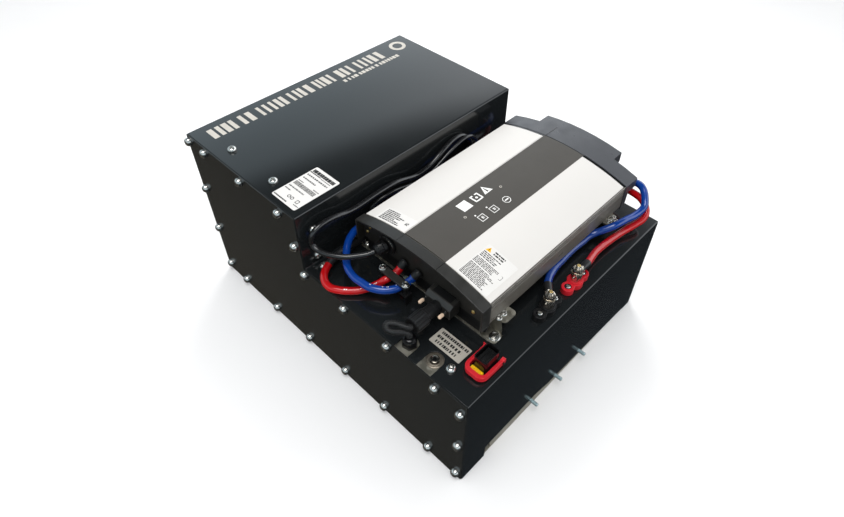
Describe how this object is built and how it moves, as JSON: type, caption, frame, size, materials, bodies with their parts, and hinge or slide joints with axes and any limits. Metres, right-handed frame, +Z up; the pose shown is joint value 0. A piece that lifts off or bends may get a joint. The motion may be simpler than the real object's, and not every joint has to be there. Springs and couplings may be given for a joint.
{
  "type": "battery pack",
  "caption": "Stepped sheet-metal traction battery box with an on-board charger, power terminals, signal connector and cables on its low front step.",
  "frame": {"origin": "middle of the box's underside", "axes": "+Z up, +X along the charger and the box's 560 mm side, -Y towards the front wall with its studs, +Y towards the tall rear section"},
  "size_m": [0.5788, 0.743, 0.3803],
  "materials": {
    "enclosure_paint": "semi-gloss anthracite powder coat",
    "galvanised": "dull galvanised",
    "zinc_bright": "bright zinc plate",
    "stainless": "satin stainless",
    "black_plastic": "fine moulded texture",
    "charger_shell": "satin anodised",
    "charger_overlay": "satin off-white film",
    "keypad_film": "fine-grained membrane",
    "red_plastic": "semi-gloss",
    "yellow_plastic": "semi-gloss",
    "cable_red": "glossy jacket",
    "cable_blue": "glossy jacket",
    "cable_black": "satin jacket",
    "nameplate": "brushed",
    "cell_case": "matte",
    "copper": "bare copper",
    "circuit_board": "solder mask"
  },
  "bodies": {
    "pack": {"main_cover": "enclosure_paint", "end_panel_near": "enclosure_paint", "end_panel_far": "enclosure_paint", "base_tray": "galvanised", "gland_plate": "galvanised", "hold_down_bar": "galvanised", "bracket_near": "galvanised", "bracket_far": "galvanised", "end_screws_near": "zinc_bright", "end_screws_far": "zinc_bright", "front_stud_1": "zinc_bright", "front_stud_2": "zinc_bright", "front_stud_3": "zinc_bright", "top_screw_1": "zinc_bright", "top_screw_2": "zinc_bright", "step_screw": "zinc_bright", "bracket_bolt_1": "zinc_bright", "bracket_bolt_2": "zinc_bright", "bracket_bolt_3": "zinc_bright", "bracket_bolt_4": "zinc_bright", "post_stud_neg": "zinc_bright", "post_stud_pos": "zinc_bright", "lug_neg": "zinc_bright", "lug_pos": "zinc_bright", "wake_button_body": "stainless", "bms_unit": "black_plastic", "main_contactor": "black_plastic", "charger_cap_near": "black_plastic", "charger_cap_far": "black_plastic", "post_base_neg": "black_plastic", "clamp_base": "black_plastic", "clamp_bar": "black_plastic", "dsub_hood": "black_plastic", "mains_gland": "black_plastic", "cable_gland": "black_plastic", "can_header": "black_plastic", "charger_body": "charger_shell", "charger_panel_front": "charger_overlay", "charger_panel_rear": "charger_overlay", "charger_keypad": "keypad_film", "post_base_pos": "red_plastic", "cable_pos": "cable_red", "cable_neg": "cable_blue", "cable_mains": "cable_black", "cable_aux": "cable_black", "comm_cable": "cable_black", "instruction_plate": "nameplate", "battery_module_1": "cell_case", "battery_module_2": "cell_case", "battery_module_3": "cell_case", "busbar_link_1": "copper", "busbar_link_2": "copper", "main_fuse": "copper", "charger_pcb": "circuit_board"},
    "wake_button_cap": {"wake_button_cap": "stainless"},
    "can_lever": {"can_lever": "red_plastic"},
    "can_cpa": {"can_cpa": "yellow_plastic"},
    "key_f1": {"key_f1": "keypad_film"},
    "key_f2": {"key_f2": "keypad_film"},
    "key_stop": {"key_stop": "keypad_film"}
  },
  "joints": [
    {"name": "wake_press", "type": "slide", "parent": "pack", "child": "wake_button_cap", "axis": [0, 0, -1], "range_m": [0, 0.003]},
    {"name": "lever_hinge", "type": "hinge", "parent": "pack", "child": "can_lever", "pos_m": [-0.188, -0.3322, 0.26], "axis": [0, 1, 0], "range_deg": [0, 75]},
    {"name": "lock_slide", "type": "slide", "parent": "pack", "child": "can_cpa", "axis": [0, 0, 1], "range_m": [0, 0.003]},
    {"name": "key_f1_press", "type": "slide", "parent": "pack", "child": "key_f1", "axis": [0, 0.0481, -0.9988], "range_m": [0, 0.0004]},
    {"name": "key_f2_press", "type": "slide", "parent": "pack", "child": "key_f2", "axis": [0, 0.0481, -0.9988], "range_m": [0, 0.0004]},
    {"name": "key_stop_press", "type": "slide", "parent": "pack", "child": "key_stop", "axis": [0, 0.0481, -0.9988], "range_m": [0, 0.0004]}
  ]
}
